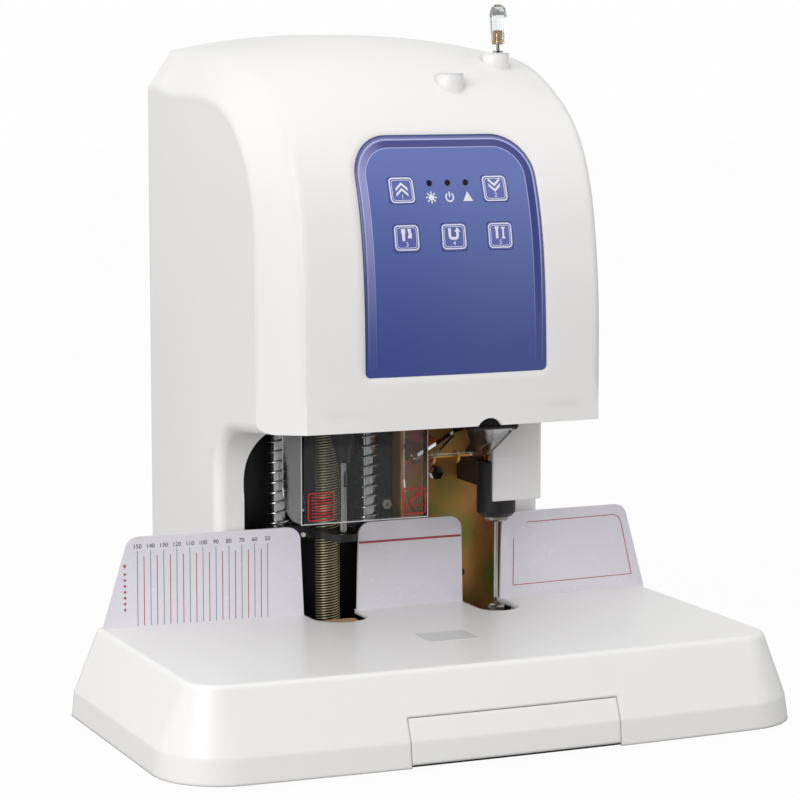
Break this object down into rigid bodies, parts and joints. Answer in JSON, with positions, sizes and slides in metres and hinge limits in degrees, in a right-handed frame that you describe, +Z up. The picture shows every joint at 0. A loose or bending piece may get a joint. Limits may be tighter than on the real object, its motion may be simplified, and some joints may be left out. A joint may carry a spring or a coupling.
{
  "type": "document riveting machine",
  "caption": "Desk machine that binds paper stacks: keys on the sloping head lower a hollow drill and a heated rivet press; ruled back guards, clear covers, hand needle, scrap drawer.",
  "frame": {"origin": "on the desk, in the middle of the footprint, under the rubber feet", "axes": "+Z up, -Y towards the operator, +X to the operator's right (rivet side)"},
  "size_m": [0.4874, 0.3897, 0.523],
  "materials": {
    "shell_white": "satin moulded",
    "table_steel": "black powder coat",
    "rail_steel": "plain sheet",
    "rubber_foot": "matte",
    "panel_violet": "satin foil",
    "key_violet": "satin",
    "lamp_dark": "clear dark lens",
    "black_plastic": "fine grain",
    "contact_brass": "plated",
    "yellow_zinc": "yellow zinc plated",
    "bright_bolt": "bright zinc",
    "column_steel": "ground",
    "pad_tan": "dull",
    "die_steel": "turned",
    "cast_alloy": "machined",
    "nut_brass": "turned",
    "screw_brass": "rolled thread",
    "motor_steel": "satin",
    "chuck_black": "blackened",
    "drill_steel": "ground",
    "white_screw": "plain",
    "spring_steel": "drawn wire",
    "piston_steel": "ground, heat tinted",
    "needle_steel": "ground",
    "knob_clear": "cut facets",
    "guard_sheet": "printed foil on sheet",
    "clear_cover": "clear",
    "cover_rod_black": "blackened"
  },
  "bodies": {
    "frame": {"housing": "shell_white", "base_tray": "shell_white", "column_skirt": "shell_white", "rivet_cover": "shell_white", "rear_cover": "shell_white", "base_plate": "table_steel", "inner_frame": "table_steel", "lower_bed": "table_steel", "drawer_rails": "rail_steel", "foot_front_left": "rubber_foot", "foot_front_right": "rubber_foot", "foot_rear_left": "rubber_foot", "foot_rear_right": "rubber_foot", "control_panel": "panel_violet", "led_preheat": "lamp_dark", "led_power": "lamp_dark", "led_alarm": "lamp_dark", "power_inlet": "black_plastic", "switch_frame": "black_plastic", "fuse_holder": "black_plastic", "inlet_pins": "contact_brass", "zinc_plate": "yellow_zinc", "flap_bracket": "yellow_zinc", "frame_bolt": "bright_bolt", "frame_nut": "bright_bolt", "guide_column_left": "column_steel", "guide_column_right": "column_steel", "drill_pad": "pad_tan", "lower_die": "die_steel", "rivet_guide": "cast_alloy", "spindle_drive": "motor_steel", "ruler_guard": "guard_sheet", "height_guard": "guard_sheet", "notice_guard": "guard_sheet", "cover_rod": "cover_rod_black"},
    "carriage": {"carriage": "cast_alloy", "screw_nut": "nut_brass", "drill_motor": "motor_steel", "spring_left": "spring_steel", "spring_right": "spring_steel"},
    "drill": {"drill_chuck": "chuck_black", "drill_bit": "drill_steel"},
    "press": {"press_foot": "black_plastic", "press_screw_left": "white_screw", "press_screw_right": "white_screw"},
    "screw": {"lead_screw": "screw_brass"},
    "rivet": {"rivet_block": "black_plastic", "upper_die": "die_steel", "rivet_piston": "piston_steel"},
    "needle": {"needle": "needle_steel", "needle_knob": "knob_clear"},
    "drawer": {"scrap_drawer": "shell_white"},
    "hood": {"drill_hood": "clear_cover"},
    "flap": {"rivet_flap": "clear_cover"},
    "raise_key": {"key_raise": "key_violet"},
    "lower_key": {"key_lower": "key_violet"},
    "drill_key": {"key_drill": "key_violet"},
    "reset_key": {"key_reset": "key_violet"},
    "rivet_key": {"key_rivet": "key_violet"},
    "rocker": {"switch_rocker": "black_plastic"}
  },
  "joints": [
    {"name": "carriage_slide", "type": "slide", "parent": "frame", "child": "carriage", "axis": [0, 0, 1], "range_m": [-0.069, 0]},
    {"name": "drill_spin", "type": "hinge", "parent": "carriage", "child": "drill", "pos_m": [-0.0444, 0.006, 0.2], "axis": [0, 0, 1], "continuous": true},
    {"name": "press_slide", "type": "slide", "parent": "carriage", "child": "press", "axis": [0, 0, 1], "range_m": [0, 0.0095], "deforming": ["spring_left", "spring_right"]},
    {"name": "screw_spin", "type": "hinge", "parent": "frame", "child": "screw", "pos_m": [-0.0444, 0.038, 0.2], "axis": [0, 0, 1], "range_deg": [0, 3106]},
    {"name": "rivet_slide", "type": "slide", "parent": "frame", "child": "rivet", "axis": [0, 0, 1], "range_m": [-0.062, 0]},
    {"name": "needle_lift", "type": "slide", "parent": "frame", "child": "needle", "axis": [0, 0, 1], "range_m": [0, 0.13]},
    {"name": "drawer_slide", "type": "slide", "parent": "frame", "child": "drawer", "axis": [0, -1, 0], "range_m": [0, 0.14]},
    {"name": "hood_swing", "type": "hinge", "parent": "frame", "child": "hood", "pos_m": [-0.0444, -0.031, 0.2246], "axis": [1, 0, 0], "range_deg": [-65, 0]},
    {"name": "flap_swing", "type": "hinge", "parent": "frame", "child": "flap", "pos_m": [0.035, 0.001, 0.187], "axis": [1, 0, 0], "range_deg": [0, 112]},
    {"name": "raise_key_press", "type": "slide", "parent": "frame", "child": "raise_key", "axis": [0, 0.9455, -0.3256], "range_m": [0, 0.0005], "stiffness_N_per_m": 400},
    {"name": "lower_key_press", "type": "slide", "parent": "frame", "child": "lower_key", "axis": [0, 0.9455, -0.3256], "range_m": [0, 0.0005], "stiffness_N_per_m": 400},
    {"name": "drill_key_press", "type": "slide", "parent": "frame", "child": "drill_key", "axis": [0, 0.9681, -0.2504], "range_m": [0, 0.0005], "stiffness_N_per_m": 400},
    {"name": "reset_key_press", "type": "slide", "parent": "frame", "child": "reset_key", "axis": [0, 0.9681, -0.2504], "range_m": [0, 0.0005], "stiffness_N_per_m": 400},
    {"name": "rivet_key_press", "type": "slide", "parent": "frame", "child": "rivet_key", "axis": [0, 0.9681, -0.2504], "range_m": [0, 0.0005], "stiffness_N_per_m": 400},
    {"name": "rocker_tilt", "type": "hinge", "parent": "frame", "child": "rocker", "pos_m": [-0.02, 0.1912, 0.07], "axis": [0, 0, 1], "range_deg": [-9.6, 0]}
  ],
  "couplings": [
    {"joint": "screw_spin", "follows": "carriage_slide", "rad_per_m": -785.4},
    {"joint": "press_slide", "follows": "carriage_slide", "ratio": -0.1376}
  ]
}
